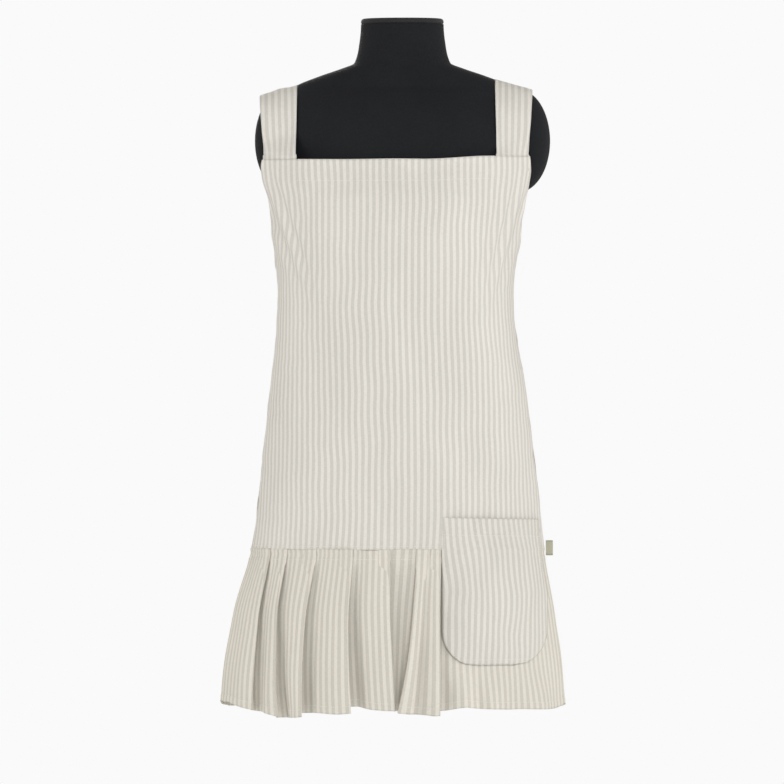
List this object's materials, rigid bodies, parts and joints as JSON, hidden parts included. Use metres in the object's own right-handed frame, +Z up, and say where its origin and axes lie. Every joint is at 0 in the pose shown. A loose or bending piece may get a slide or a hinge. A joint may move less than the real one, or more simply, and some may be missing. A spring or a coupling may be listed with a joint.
{
  "type": "apron on a dress form",
  "caption": "Striped pinafore apron with wide crossed straps, pleated frill, patch pocket and side tag, dressed on a cloth-covered display torso.",
  "frame": {"origin": "middle of the open mouth of the stand socket under the torso", "axes": "+Z up the torso to the neck, -Y out of the apron's front, +X the wearer's left, where the pocket and the tag are"},
  "size_m": [0.5036, 0.2979, 0.9727],
  "materials": {
    "shell": "moulded glass-fibre shell, hidden under the cover",
    "jersey": "fine black knitted jersey, stretched",
    "pad": "stuffed pad in the same black jersey",
    "cap": "board covered in black jersey",
    "board": "sanded plywood",
    "steel": "zinc-plated steel",
    "screw": "zinc-plated steel",
    "knob": "black moulded knob on a steel stem",
    "ticking": "cotton-linen ticking, woven stripes of ivory and pale greige",
    "tag": "sage ribbon"
  },
  "bodies": {
    "dressed_torso": {"torso_shell_front": "shell", "torso_shell_back": "shell", "jersey_cover": "jersey", "arm_plate_right": "board", "arm_pad_right": "pad", "arm_plate_left": "board", "arm_pad_left": "pad", "neck_block": "board", "base_board": "board", "socket_plate": "steel", "stand_socket": "steel", "plate_screw_1": "screw", "plate_screw_2": "screw", "plate_screw_3": "screw", "plate_screw_4": "screw", "front_panel": "ticking", "bib_hem": "ticking", "frill_front": "ticking", "back_panel_right": "ticking", "frill_back_right": "ticking", "strap_right": "ticking", "back_panel_left": "ticking", "frill_back_left": "ticking", "strap_left": "ticking", "patch_pocket": "ticking"},
    "neck_cap": {"neck_cap": "cap"},
    "clamp_screw": {"clamp_screw": "knob"},
    "side_tag": {"side_tag": "tag"}
  },
  "joints": [
    {"name": "neck_cap_lift", "type": "slide", "parent": "dressed_torso", "child": "neck_cap", "axis": [0, 0, 1], "range_m": [0, 0.03]},
    {"name": "clamp_turn", "type": "hinge", "parent": "dressed_torso", "child": "clamp_screw", "pos_m": [0, 0.03, 0.03], "axis": [0, 1, 0], "range_deg": [0, 570]},
    {"name": "tag_flap", "type": "hinge", "parent": "dressed_torso", "child": "side_tag", "pos_m": [0.2006, 0, 0.0255], "axis": [0, 0, 1], "range_deg": [-45, 45]}
  ]
}
